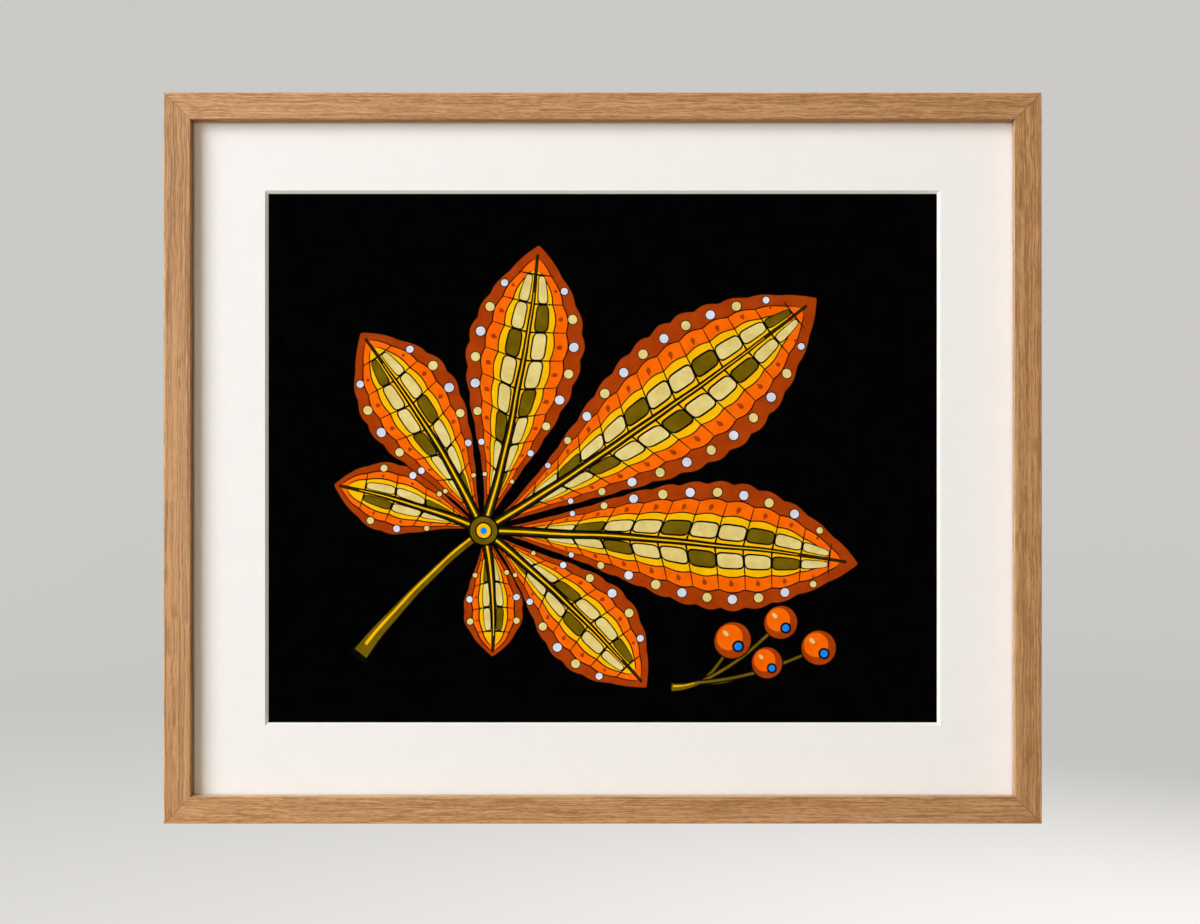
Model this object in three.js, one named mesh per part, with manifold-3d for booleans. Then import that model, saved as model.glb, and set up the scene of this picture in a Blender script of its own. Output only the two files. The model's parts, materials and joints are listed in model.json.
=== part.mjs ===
// A framed picture that hangs on a wall: four mitred oak rails round a stack of glass, window mat,
// print, foam board and backing board. Six turn buttons hold the stack in from behind, V nails
// pin the mitres, and a sawtooth hanger on the top rail sits on one wall nail.
// Millimetres, +Z up. The picture faces -Y, and the wall is the plane y = 0. The origin is the
// point of the wall where the nail carries the hanger's middle notch.

import * as THREE from "three";
import { mergeVertices } from "three/addons/utils/BufferGeometryUtils.js";
import Module from "manifold-3d";

const wasm = await Module();
wasm.setup();

// Driving dimensions of the frame
const FRAME_WIDTH = 454;
const FRAME_HEIGHT = 378;
const RAIL_FACE = 14; // the wood seen from the front
const RAIL_DEPTH = 23;
const LIP_OVERLAP = 5; // how far the front lip covers the glass
const LIP_DEPTH = 5.5; // front face to glass
const OUTER_ARRIS = 0.8; // radius of the softened front edges
const INNER_ARRIS = 0.5;
const MITRE_GLUE = 0.05; // half the glue line between two rails

// Driving dimensions of the stack, front to back
const BOARD_CLEARANCE = 1; // round the glass and boards, on each side
const STACK_GAP = 0.1;
const STACK = [
  ["glass", 2.0],
  ["window_mat", 1.5],
  ["print", 0.3],
  ["foam_board", 10.0],
  ["backing_board", 3.0],
];
const WINDOW_WIDTH = 349; // the sharp edge of the bevel, where the print starts
const WINDOW_HEIGHT = 276;
const PRINT_WIDTH = 355.6; // a 14 by 11 inch sheet
const PRINT_HEIGHT = 279.4;

// Driving dimensions of the hardware
const BUMPER_HEIGHT = 4; // keeps the frame off the wall
const BUMPER_RADIUS = 4;
const BUMPER_INSET = 12; // from the frame's outer side
const BUTTON_THICKNESS = 1;
const BUTTON_GAP = 0.1; // over the wood, and under the screw's head
const BUTTON_PIVOT_RADIUS = 4.2;
const BUTTON_TIP_RADIUS = 3.2;
const BUTTON_REACH = 17; // pivot to the tip's centre
const BUTTON_SPREAD = 110; // pivots left and right of the middle
const SCREW_SHANK_RADIUS = 1.3;
const SCREW_SHANK_LENGTH = 9;
const SCREW_HEAD_RADIUS = 3;
const SCREW_HEAD_HEIGHT = 1.2;
const RECESS_SPAN = 3.4; // the head's cross slot
const RECESS_WIDTH = 0.8;
const RECESS_DEPTH = 0.7;
const PART_GAP = 0.3; // round a shank in its hole
const HANGER_LENGTH = 46;
const HANGER_HEIGHT = 8;
const HANGER_THICKNESS = 0.8;
const HANGER_RAISE = 1.6; // the middle stands off the wood for the nail's head
const HANGER_FLAT = 8; // each end that lies on the wood
const HANGER_RAMP = 2.5;
const NOTCH_PITCH = 3.5;
const NOTCH_COUNT = 7;
const NOTCH_WIDTH = 2.8;
const NOTCH_DEPTH = 1.8;
const NAIL_TO_TOP = 6.5; // wall nail to the top of the frame
const TACK_SHANK_RADIUS = 0.7;
const TACK_SHANK_LENGTH = 10;
const TACK_HEAD_RADIUS = 1.7;
const TACK_HEAD_HEIGHT = 0.6;
const V_NAIL_LEG = 4;
const V_NAIL_THICKNESS = 0.8;
const V_NAIL_DEPTH = 7;
const V_NAIL_INSET = 6.5; // its point, from both outer sides of the corner
const ROUND_SEGMENTS = 24;
const CUT_MARGIN = 1; // how far a cutter runs past the face it opens

// Worked out from the above
const LAND_WIDTH = RAIL_FACE - LIP_OVERLAP; // the wood behind, beside the boards
const LAND_MIDDLE = LAND_WIDTH / 2;
const LAND_Y = -BUMPER_HEIGHT;
const FRONT_Y = LAND_Y - RAIL_DEPTH;
const LIP_BACK_Y = FRONT_Y + LIP_DEPTH;
const BOARD_WIDTH = FRAME_WIDTH - 2 * (LAND_WIDTH + BOARD_CLEARANCE);
const BOARD_HEIGHT = FRAME_HEIGHT - 2 * (LAND_WIDTH + BOARD_CLEARANCE);
const CENTRE_Z = NAIL_TO_TOP - FRAME_HEIGHT / 2;

const layers = {};
let nextFront = LIP_BACK_Y + STACK_GAP;
for (const [name, thickness] of STACK) {
  layers[name] = { thickness, middle: nextFront + thickness / 2 };
  nextFront += thickness + STACK_GAP;
}

// Materials

function finish(color, roughness, metalness = 0) {
  return new THREE.MeshStandardMaterial({ color, roughness, metalness });
}

const oak = finish(0xbf9062, 0.55);
const clearGlass = finish(0xe8f0ee, 0.05);
clearGlass.transparent = true;
clearGlass.opacity = 0.25;
const matBoard = finish(0xf4efe8, 0.9);
const printPaper = finish(0x0b0a09, 0.75);
const foamPaper = finish(0xeeece6, 0.85);
const hardboard = finish(0x7a5433, 0.7);
const zincPlate = finish(0xb9bcbf, 0.35, 1);
const brassPlate = finish(0xb99a55, 0.35, 1);
const blackRubber = finish(0x1b1b1c, 0.8);

// Solids: joining and cutting

// A closed geometry as a manifold solid, its shared vertices merged.
function solidFrom(geometry) {
  const bare = geometry.index ? geometry.toNonIndexed() : geometry.clone();
  bare.deleteAttribute("normal");
  bare.deleteAttribute("uv");
  const merged = mergeVertices(bare, 1e-4);
  const vertProperties = merged.attributes.position.array;
  const triVerts = new Uint32Array(merged.index.array);
  return new wasm.Manifold(new wasm.Mesh({ numProp: 3, vertProperties, triVerts }));
}

// The geometry that is left once every cutter has been taken out of it.
function cut(geometry, cutters) {
  let solid = solidFrom(geometry);
  for (const cutter of cutters) solid = solid.subtract(solidFrom(cutter));
  const mesh = solid.getMesh();
  const left = new THREE.BufferGeometry();
  left.setAttribute("position", new THREE.BufferAttribute(mesh.vertProperties, 3));
  left.setIndex(new THREE.BufferAttribute(mesh.triVerts, 1));
  left.computeVertexNormals();
  return left;
}

// A flat plate: the shape's x and y become X and Z, and it fills from y = near to y = far.
function plate(shape, near, far) {
  const geometry = new THREE.ExtrudeGeometry(shape, {
    depth: far - near,
    bevelEnabled: false,
    curveSegments: ROUND_SEGMENTS / 2,
  });
  return geometry.rotateX(Math.PI / 2).translate(0, far, 0);
}

// A round solid about Y, from (radius, y) pairs that start and end on the axis.
function turned(profile) {
  const points = profile.map(([radius, y]) => new THREE.Vector2(radius, y));
  return new THREE.LatheGeometry(points, ROUND_SEGMENTS);
}

// A round hole's cutter along Y.
function drill(radius, x, z, near, far) {
  const geometry = new THREE.CylinderGeometry(radius, radius, far - near, ROUND_SEGMENTS);
  return geometry.translate(x, (near + far) / 2, z);
}

// A box whose front (low y) and back (high y) rectangles differ.
function taperedBox(front, back) {
  const geometry = new THREE.BoxGeometry(1, 1, 1);
  const position = geometry.attributes.position;
  for (let i = 0; i < position.count; i++) {
    const end = position.getY(i) < 0 ? front : back;
    position.setXYZ(i, position.getX(i) * end.width, end.y, position.getZ(i) * end.height);
  }
  return geometry;
}

function named(name, geometry, material) {
  const mesh = new THREE.Mesh(geometry, material);
  mesh.name = name;
  return mesh;
}

// Corners: V nails across the mitres

// The nail's section round its point, with both legs running outwards, grown by a margin.
function vShape(margin) {
  const inner = -margin;
  const outer = V_NAIL_LEG + margin;
  const web = V_NAIL_THICKNESS + margin;
  const shape = new THREE.Shape();
  shape.moveTo(inner, inner);
  shape.lineTo(outer, inner);
  shape.lineTo(outer, web);
  shape.lineTo(web, web);
  shape.lineTo(web, outer);
  shape.lineTo(inner, outer);
  return shape;
}

function vNail() {
  return plate(vShape(0), LAND_Y - V_NAIL_DEPTH, LAND_Y);
}

function vNailPocket() {
  return plate(vShape(PART_GAP), LAND_Y - V_NAIL_DEPTH - PART_GAP, LAND_Y + CUT_MARGIN);
}

// Rails

// The moulding's section: x is the distance in from the frame's outer side, y the depth.
function railSection() {
  const section = new THREE.Shape();
  section.moveTo(0, LAND_Y);
  section.lineTo(0, FRONT_Y + OUTER_ARRIS);
  section.absarc(OUTER_ARRIS, FRONT_Y + OUTER_ARRIS, OUTER_ARRIS, Math.PI, 1.5 * Math.PI);
  section.lineTo(RAIL_FACE - INNER_ARRIS, FRONT_Y);
  section.absarc(
    RAIL_FACE - INNER_ARRIS, FRONT_Y + INNER_ARRIS, INNER_ARRIS, -Math.PI / 2, 0,
  );
  section.lineTo(RAIL_FACE, LIP_BACK_Y);
  section.lineTo(LAND_WIDTH, LIP_BACK_Y);
  section.lineTo(LAND_WIDTH, LAND_Y);
  return section;
}

// A rail as if it were the top one: along X, its outer side at z = span / 2, ends cut at 45 degrees.
function railBlank(length, span) {
  const geometry = new THREE.ExtrudeGeometry(railSection(), {
    depth: 1,
    bevelEnabled: false,
    curveSegments: 3,
  });
  const position = geometry.attributes.position;
  for (let i = 0; i < position.count; i++) {
    const inset = position.getX(i);
    const end = position.getZ(i) < 0.5 ? -1 : 1;
    const x = end * (length / 2 - inset - MITRE_GLUE);
    position.setXYZ(i, x, position.getY(i), span / 2 - inset);
  }
  return geometry;
}

function cornerPockets(length, span) {
  const x = length / 2 - V_NAIL_INSET;
  const z = span / 2 - V_NAIL_INSET;
  const right = vNailPocket().translate(x, 0, z);
  const left = vNailPocket().rotateY(-Math.PI / 2).translate(-x, 0, z);
  return [right, left];
}

function screwHole(x, span) {
  const radius = SCREW_SHANK_RADIUS + PART_GAP;
  const bottom = LAND_Y - SCREW_SHANK_LENGTH - PART_GAP;
  return drill(radius, x, span / 2 - LAND_MIDDLE, bottom, LAND_Y + CUT_MARGIN);
}

function tackHole(x, z) {
  const radius = TACK_SHANK_RADIUS + PART_GAP;
  return drill(radius, x, z, LAND_Y - TACK_SHANK_LENGTH - PART_GAP, LAND_Y + CUT_MARGIN);
}

// Turn buttons and their screws, as on the top rail: the button points down, over the boards

function turnButton() {
  const lean = Math.asin((BUTTON_PIVOT_RADIUS - BUTTON_TIP_RADIUS) / BUTTON_REACH);
  const shape = new THREE.Shape();
  shape.absarc(0, 0, BUTTON_PIVOT_RADIUS, -lean, Math.PI + lean);
  shape.absarc(0, -BUTTON_REACH, BUTTON_TIP_RADIUS, Math.PI + lean, 2 * Math.PI - lean);
  const hole = new THREE.Path();
  hole.absarc(0, 0, SCREW_SHANK_RADIUS + PART_GAP, 0, 2 * Math.PI, true);
  shape.holes.push(hole);
  const near = LAND_Y + BUTTON_GAP;
  return plate(shape, near, near + BUTTON_THICKNESS);
}

function panHeadScrew() {
  const seat = LAND_Y + BUTTON_THICKNESS + 2 * BUTTON_GAP;
  const top = seat + SCREW_HEAD_HEIGHT;
  const point = LAND_Y - SCREW_SHANK_LENGTH;
  const body = turned([
    [0, point],
    [SCREW_SHANK_RADIUS, point + 2 * SCREW_SHANK_RADIUS],
    [SCREW_SHANK_RADIUS, seat],
    [SCREW_HEAD_RADIUS, seat],
    [SCREW_HEAD_RADIUS, seat + 0.5 * SCREW_HEAD_HEIGHT],
    [0.85 * SCREW_HEAD_RADIUS, seat + 0.85 * SCREW_HEAD_HEIGHT],
    [0.5 * SCREW_HEAD_RADIUS, top],
    [0, top],
  ]);
  const slot = new THREE.BoxGeometry(RECESS_SPAN, 2 * RECESS_DEPTH, RECESS_WIDTH);
  slot.translate(0, top, 0);
  return cut(body, [slot, slot.clone().rotateY(Math.PI / 2)]);
}

// The sawtooth hanger and its two tacks

function sawtoothHanger() {
  const end = HANGER_LENGTH / 2;
  const foot = end - HANGER_FLAT;
  const crest = foot - HANGER_RAMP;
  const bend = HANGER_THICKNESS * Math.tan(Math.atan2(HANGER_RAISE, HANGER_RAMP) / 2);
  const top = HANGER_THICKNESS;
  const under = [[end, 0], [foot, 0], [crest, HANGER_RAISE]];
  const over = [[end, top], [foot + bend, top], [crest + bend, HANGER_RAISE + top]];
  const mirrored = (points) => points.map(([x, y]) => [-x, y]).reverse();
  const outline = [...under, ...mirrored(under), ...mirrored(over).reverse(), ...over.reverse()];
  const side = new THREE.Shape(outline.map(([x, y]) => new THREE.Vector2(x, y)));
  const strip = new THREE.ExtrudeGeometry(side, { depth: HANGER_HEIGHT, bevelEnabled: false });
  strip.translate(0, LAND_Y + BUTTON_GAP, -NOTCH_DEPTH);

  const cutters = [];
  for (let i = 0; i < NOTCH_COUNT; i++) {
    const x = (i - (NOTCH_COUNT - 1) / 2) * NOTCH_PITCH;
    const low = -NOTCH_DEPTH - CUT_MARGIN;
    const slope = NOTCH_WIDTH / 2 / NOTCH_DEPTH;
    const notch = new THREE.Shape();
    notch.moveTo(x, 0);
    notch.lineTo(x - slope * (NOTCH_DEPTH + CUT_MARGIN), low);
    notch.lineTo(x + slope * (NOTCH_DEPTH + CUT_MARGIN), low);
    cutters.push(plate(notch, LAND_Y, 0));
  }
  for (const [x, z] of tackPlaces()) {
    cutters.push(drill(TACK_SHANK_RADIUS + PART_GAP, x, z, LAND_Y - CUT_MARGIN, 0));
  }
  return cut(strip, cutters);
}

function tackPlaces() {
  const x = (HANGER_LENGTH - HANGER_FLAT) / 2;
  const z = HANGER_HEIGHT / 2 - NOTCH_DEPTH;
  return [[-x, z], [x, z]];
}

function tack() {
  const seat = LAND_Y + HANGER_THICKNESS + 2 * BUTTON_GAP;
  const point = LAND_Y - TACK_SHANK_LENGTH;
  return turned([
    [0, point],
    [TACK_SHANK_RADIUS, point + 2 * TACK_SHANK_RADIUS],
    [TACK_SHANK_RADIUS, seat],
    [TACK_HEAD_RADIUS, seat],
    [0.9 * TACK_HEAD_RADIUS, seat + 0.5 * TACK_HEAD_HEIGHT],
    [0.5 * TACK_HEAD_RADIUS, seat + TACK_HEAD_HEIGHT],
    [0, seat + TACK_HEAD_HEIGHT],
  ]);
}

function bumper() {
  const chamfer = 0.6;
  return turned([
    [0, LAND_Y],
    [BUMPER_RADIUS, LAND_Y],
    [BUMPER_RADIUS, -chamfer],
    [BUMPER_RADIUS - chamfer, 0],
    [0, 0],
  ]);
}

// The stack

function board(name, width, height, material) {
  const layer = layers[name];
  const geometry = new THREE.BoxGeometry(width, layer.thickness, height);
  const mesh = named(name, geometry, material);
  mesh.position.y = layer.middle;
  return mesh;
}

// The window's edge is bevelled at 45 degrees, wider at the front by the mat's thickness.
function windowMat() {
  const mesh = board("window_mat", BOARD_WIDTH, BOARD_HEIGHT, matBoard);
  const half = layers.window_mat.thickness / 2;
  const grow = 2 * (2 * half + CUT_MARGIN);
  const front = {
    width: WINDOW_WIDTH + grow,
    height: WINDOW_HEIGHT + grow,
    y: -half - CUT_MARGIN,
  };
  const back = {
    width: WINDOW_WIDTH - 2 * CUT_MARGIN,
    height: WINDOW_HEIGHT - 2 * CUT_MARGIN,
    y: half + CUT_MARGIN,
  };
  mesh.geometry = cut(mesh.geometry, [taperedBox(front, back)]);
  return mesh;
}

// Assembly, about the picture's centre

const picture = new THREE.Group();
picture.position.z = CENTRE_Z;

const sides = [
  { name: "top", turn: 0, length: FRAME_WIDTH, span: FRAME_HEIGHT },
  { name: "right", turn: Math.PI / 2, length: FRAME_HEIGHT, span: FRAME_WIDTH },
  { name: "bottom", turn: Math.PI, length: FRAME_WIDTH, span: FRAME_HEIGHT },
  { name: "left", turn: -Math.PI / 2, length: FRAME_HEIGHT, span: FRAME_WIDTH },
];

// Where a side's turn buttons pivot, and each one's name. The long rails have two.
function pivotsOf(side) {
  if (side.name === "left" || side.name === "right") return [[side.name, 0]];
  const towardsRight = side.name === "top" ? 1 : -1;
  return [
    [side.name + "_left", -BUTTON_SPREAD * towardsRight],
    [side.name + "_right", BUTTON_SPREAD * towardsRight],
  ];
}

for (const side of sides) {
  const group = new THREE.Group();
  group.rotation.y = side.turn;
  const pivotZ = side.span / 2 - LAND_MIDDLE;
  const cutters = cornerPockets(side.length, side.span);
  for (const [name, x] of pivotsOf(side)) {
    cutters.push(screwHole(x, side.span));
    const button = named("turn_button_" + name, turnButton(), zincPlate);
    const screw = named("screw_" + name, panHeadScrew(), zincPlate);
    button.position.set(x, 0, pivotZ);
    screw.position.set(x, 0, pivotZ);
    group.add(button, screw);
  }
  if (side.name === "top") {
    for (const [x, z] of tackPlaces()) cutters.push(tackHole(x, z - CENTRE_Z));
  }
  const blank = railBlank(side.length, side.span);
  group.add(named("rail_" + side.name, cut(blank, cutters), oak));
  picture.add(group);
}

const corners = [
  { name: "top_right", x: 1, z: 1, turn: 0 },
  { name: "bottom_right", x: 1, z: -1, turn: Math.PI / 2 },
  { name: "bottom_left", x: -1, z: -1, turn: Math.PI },
  { name: "top_left", x: -1, z: 1, turn: -Math.PI / 2 },
];
for (const corner of corners) {
  const nail = named("v_nail_" + corner.name, vNail(), zincPlate);
  nail.rotation.y = corner.turn;
  const x = FRAME_WIDTH / 2 - V_NAIL_INSET;
  const z = FRAME_HEIGHT / 2 - V_NAIL_INSET;
  nail.position.set(corner.x * x, 0, corner.z * z);
  picture.add(nail);
}

picture.add(board("glass", BOARD_WIDTH, BOARD_HEIGHT, clearGlass));
picture.add(windowMat());
picture.add(board("print", PRINT_WIDTH, PRINT_HEIGHT, printPaper));
picture.add(board("foam_board", BOARD_WIDTH, BOARD_HEIGHT, foamPaper));
picture.add(board("backing_board", BOARD_WIDTH, BOARD_HEIGHT, hardboard));

for (const [name, sign] of [["left", -1], ["right", 1]]) {
  const foot = named("bumper_" + name, bumper(), blackRubber);
  foot.position.x = sign * (FRAME_WIDTH / 2 - BUMPER_INSET);
  foot.position.z = LAND_MIDDLE - FRAME_HEIGHT / 2;
  picture.add(foot);
}

const part = new THREE.Group();
part.add(picture);
part.add(named("sawtooth_hanger", sawtoothHanger(), brassPlate));
for (const [x, z] of tackPlaces()) {
  const pin = named("hanger_tack_" + (x < 0 ? "left" : "right"), tack(), brassPlate);
  pin.position.set(x, 0, z);
  part.add(pin);
}

export default part;
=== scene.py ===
# %% [markdown]
# # A framed print, dressed for its portrait
# A framed picture is a stack of flat sheets held in a wooden tray: glass, window mat, print, filler
# board and back. The imported model already has every sheet and rail at its real size, so this
# lesson adds only what the eye wants: oak that runs along each rail, paper, paint, glass and metal.
# The first cell loads the model and keeps its box.

# %% Load the imported model
import json
import math

import bmesh
import bpy
import numpy as np
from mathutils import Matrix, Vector
from mathutils.geometry import delaunay_2d_cdt


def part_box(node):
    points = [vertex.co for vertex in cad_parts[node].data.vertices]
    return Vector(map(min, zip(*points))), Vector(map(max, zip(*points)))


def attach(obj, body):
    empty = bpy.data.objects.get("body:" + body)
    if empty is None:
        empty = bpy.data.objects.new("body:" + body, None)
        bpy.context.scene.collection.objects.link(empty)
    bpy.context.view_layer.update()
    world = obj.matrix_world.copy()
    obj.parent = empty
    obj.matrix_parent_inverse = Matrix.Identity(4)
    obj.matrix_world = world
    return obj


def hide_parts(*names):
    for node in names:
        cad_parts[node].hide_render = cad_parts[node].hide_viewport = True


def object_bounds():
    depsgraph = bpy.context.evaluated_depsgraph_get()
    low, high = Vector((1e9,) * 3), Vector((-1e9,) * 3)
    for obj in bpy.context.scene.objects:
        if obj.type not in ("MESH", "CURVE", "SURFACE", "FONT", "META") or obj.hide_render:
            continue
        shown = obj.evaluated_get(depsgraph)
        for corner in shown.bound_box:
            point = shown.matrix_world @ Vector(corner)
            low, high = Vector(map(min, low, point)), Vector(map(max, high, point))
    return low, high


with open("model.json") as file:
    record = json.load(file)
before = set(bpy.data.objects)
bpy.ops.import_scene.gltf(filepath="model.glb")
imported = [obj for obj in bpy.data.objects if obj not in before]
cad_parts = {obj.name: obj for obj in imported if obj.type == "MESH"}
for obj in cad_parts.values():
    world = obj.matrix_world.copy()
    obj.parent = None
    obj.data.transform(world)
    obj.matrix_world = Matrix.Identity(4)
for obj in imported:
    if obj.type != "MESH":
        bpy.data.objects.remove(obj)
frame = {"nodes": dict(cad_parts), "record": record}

cad_box = [list(corner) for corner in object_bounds()]
nodes = frame["nodes"]
MM = 0.001
half_width = (cad_box[1][0] - cad_box[0][0]) / 2
half_height = (cad_box[1][2] - cad_box[0][2]) / 2
middle_z = (cad_box[0][2] + cad_box[1][2]) / 2
print("box of the solids, mm:", [[round(c / MM, 1) for c in corner] for corner in cad_box])

# %% [markdown]
# ## Colours
# Paint and wood are usually described by the numbers of a colour picker, but a shader works with
# linear light. One helper turns the first into the second, so that the colours below stay in the
# numbers that people know.

# %% From picker values to linear light


def paint(red, green, blue):
    """The linear colour of a picker's 0 to 255 values: dark ones are divided by 12.92, and the
    others follow a power of 2.4."""
    share = np.array([red, green, blue]) / 255
    curve = np.where(share <= 0.04045, share / 12.92, ((share + 0.055) / 1.055) ** 2.4)
    return (*curve.tolist(), 1.0)


print("a picker's middle grey, as a share of white:", round(paint(128, 128, 128)[0], 3))

# %% [markdown]
# ## A recipe book for materials
# A material is a tree of nodes. A long hand-joined tree for every finish hides what the finish is
# made of, so a small class adds the nodes one at a time, and each recipe below reads like a list
# of steps. What it feeds a node is either a plain value or what another node gives out.

# %% The recipe book


class Recipe:
    """A material in the making: every step adds one node, fed by plain values or other nodes."""

    def __init__(self, name, **shader):
        self.material = bpy.data.materials.new(name)
        self.material.use_nodes = True
        self.tree = self.material.node_tree
        self.shader = self.tree.nodes["Principled BSDF"]
        self.feed(self.shader, {words.replace("_", " "): value for words, value in shader.items()})

    def plug(self, value, socket):
        """Links another node's output to the socket, or gives the socket a plain value."""
        if isinstance(value, bpy.types.NodeSocket):
            self.tree.links.new(value, socket)
        else:
            socket.default_value = value

    def feed(self, node, values):
        """Fills the inputs of a node, each given by its name."""
        for socket, value in values.items():
            self.plug(value, node.inputs[socket])

    def add(self, kind, values, **settings):
        """One more node, with its settings and its inputs."""
        node = self.tree.nodes.new(kind)
        for name, value in settings.items():
            setattr(node, name, value)
        self.feed(node, values)
        return node

    def stretch(self, where, scale, shift=(0, 0, 0)):
        """Coordinates times a scale in each direction, plus a shift."""
        values = {"Vector": where, "Scale": scale, "Location": shift}
        return self.add("ShaderNodeMapping", values).outputs["Vector"]

    def place(self, shift=(0, 0, 0)):
        """Object coordinates in metres, plus a shift."""
        where = self.add("ShaderNodeTexCoord", {}).outputs["Object"]
        return self.stretch(where, (1, 1, 1), shift)

    def noise(self, where, scale=1.0, detail=2.0, roughness=0.5):
        """A cloudy pattern: scale is its spots to each unit of where, and detail its layers."""
        values = {"Vector": where, "Scale": scale, "Detail": detail, "Roughness": roughness}
        return self.add("ShaderNodeTexNoise", values)

    def ramp(self, share, stops):
        """A colour for each share: stops are (place, colour) pairs."""
        node = self.add("ShaderNodeValToRGB", {"Fac": share})
        bar = node.color_ramp.elements
        while len(bar) < len(stops):
            bar.new(0.5)
        for mark, (place, colour) in zip(bar, stops):
            mark.position = place
            mark.color = colour
        return node.outputs["Color"]

    def fit(self, share, low, high, new_low, new_high):
        """A share between low and high, carried over to between new_low and new_high."""
        values = {
            "Value": share,
            "From Min": low,
            "From Max": high,
            "To Min": new_low,
            "To Max": new_high,
        }
        return self.add("ShaderNodeMapRange", values).outputs["Result"]

    def blend(self, share, first, second, how="MIX"):
        """The first colour where the share is 0, and the second where it is 1."""
        node = self.add("ShaderNodeMix", {}, data_type="RGBA", blend_type=how)
        colour_sockets = [s for s in node.inputs if s.type == "RGBA"]
        for value, socket in zip([share, first, second], [node.inputs[0], *colour_sockets]):
            self.plug(value, socket)
        return next(s for s in node.outputs if s.type == "RGBA")

    def tint(self, colour, factor):
        """The colour times another one, channel by channel."""
        return self.blend(1.0, colour, factor, "MULTIPLY")

    def reckon(self, first, how, second=0.0):
        """One number from two: how is the name of the sum, such as ADD or LESS_THAN."""
        node = self.add("ShaderNodeMath", {}, operation=how)
        for value, socket in zip([first, second], node.inputs):
            self.plug(value, socket)
        return node.outputs["Value"]

    def relief(self, height, depth, strength=1.0):
        """Bumps of that depth, in metres, on the shader."""
        values = {"Height": height, "Distance": depth, "Strength": strength}
        bump = self.add("ShaderNodeBump", values)
        self.feed(self.shader, {"Normal": bump.outputs["Normal"]})


def dress(names, material):
    """Puts one material on every face of each named solid."""
    for name in names:
        solid = nodes[name]
        solid.data.materials.clear()
        solid.data.materials.append(material)


print("solids to dress:", len(nodes))

# %% [markdown]
# ## Oak rails
# Wood isn't the same all over a frame. The end grain at each mitre drinks the finish and draws a
# thin dark line. The sight edge, the narrow wall next to the glass, gets painted light and shade:
# painted shade on the left and top walls, and painted light on the right and bottom ones, as if lit
# from the upper left. The softened outer edges get a painted highlight, which also stands for paler
# sanded wood, and draws a thin light line round the frame. These spots could be painted by hand on
# a mask, but their places are known in millimetres, so the material can work them out from where a
# point lies and which way its face looks.

# %% Where a point lies on the frame
MITRE_LINE = 0.2 * MM
SIGHT_DEPTH = 12 * MM
# How far in from the outer sides the painted highlight of the softened edges reaches.
HIGHLIGHT_AND_WEAR_DEPTH = 2 * MM


def off_middle(wood):
    """How far a point lies to either side of the picture's middle, and how far above or below."""
    where = wood.add("ShaderNodeSeparateXYZ", {"Vector": wood.place((0, 0, -middle_z))})
    return [wood.reckon(where.outputs[axis], "ABSOLUTE") for axis in "XZ"]


def mitre_seam(wood):
    """1 in a hair's breadth round each mitre, where the end grain drank the finish, else 0. On a
    mitre, the way in from the frame's outer side equals the way in from its top or bottom."""
    across, up = off_middle(wood)
    way_in = wood.reckon(across, "SUBTRACT", up)
    gap = wood.reckon(way_in, "SUBTRACT", half_width - half_height)
    return wood.fit(wood.reckon(gap, "ABSOLUTE"), MITRE_LINE, 2 * MITRE_LINE, 1.0, 0.0)


def farther_in(wood, depth):
    """1 where a point lies farther in than that depth from all four outer sides, else 0."""
    across, up = off_middle(wood)
    inside_x = wood.reckon(across, "LESS_THAN", half_width - depth)
    inside_z = wood.reckon(up, "LESS_THAN", half_height - depth)
    return wood.reckon(inside_x, "MULTIPLY", inside_z)


def looks_squarely(recipe):
    """1 on a face that looks straight forwards or backwards, and 0 on one that looks sideways."""
    normal = recipe.add("ShaderNodeNewGeometry", {}).outputs["True Normal"]
    facing = recipe.add("ShaderNodeSeparateXYZ", {"Vector": normal})
    return recipe.reckon(facing.outputs["Y"], "ABSOLUTE")


def sight_edge(wood):
    """1 on the lip's inner wall, the narrow side that faces the glass's opening, else 0: it looks
    sideways, and lies nearer the picture's middle than the middle of the rail's face."""
    sideways = wood.fit(looks_squarely(wood), 0.2, 0.5, 1.0, 0.0)
    return wood.reckon(sideways, "MULTIPLY", farther_in(wood, SIGHT_DEPTH))


# The mask for a painted highlight along the softened outer edges, which also stands for paler
# sanded wood.
def highlight_and_wear_edge(wood):
    """1 on the softened outer edges, whose faces look neither straight ahead nor sideways."""
    off_side = wood.fit(looks_squarely(wood), 0.05, 0.15, 0.0, 1.0)
    off_front = wood.fit(looks_squarely(wood), 0.96, 0.995, 1.0, 0.0)
    soft = wood.reckon(off_side, "MULTIPLY", off_front)
    outside = wood.reckon(1.0, "SUBTRACT", farther_in(wood, HIGHLIGHT_AND_WEAR_DEPTH))
    return wood.reckon(soft, "MULTIPLY", outside)


print("the mitres' dark line, mm:", 2 * MITRE_LINE / MM, "worn edge, mm:", HIGHLIGHT_AND_WEAR_DEPTH / MM)

# %% [markdown]
# Each rail is one stick, sawn along the grain, so its streaks run down its length and stop dead
# at the mitre. A noise in three dimensions does this if it is squeezed across the rail and long
# along it; the same noise then also shows on the sides and the back, as in real wood. Several
# lengths are laid over each other: short flecks, the wavy streaks that the eye reads as oak, the
# long lines of the years' growth, and pores as dark ticks. Nearly all are about half a millimetre
# wide.

# %% Oak
OAK_LIGHT = paint(205, 157, 110)
OAK_MIDDLE = paint(183, 135, 89)
OAK_DARK = paint(156, 109, 65)
OAK_PORE = paint(114, 73, 40)
FLECK = (4 * MM, 0.5 * MM)
STREAK = (24 * MM, 0.55 * MM)
LINE_OF_YEARS = (150 * MM, 1.1 * MM)
PORE = (6 * MM, 0.35 * MM)
FLECK_SHARE = 0.45  # the streaks are the rest
PORE_SHARE = 0.32
GRAIN_RELIEF = 0.08 * MM
WANDER_SPACING = 20 * MM
WANDER = 2.2 * MM
MITRE_TONE = (0.72, 0.72, 0.72)
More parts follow.
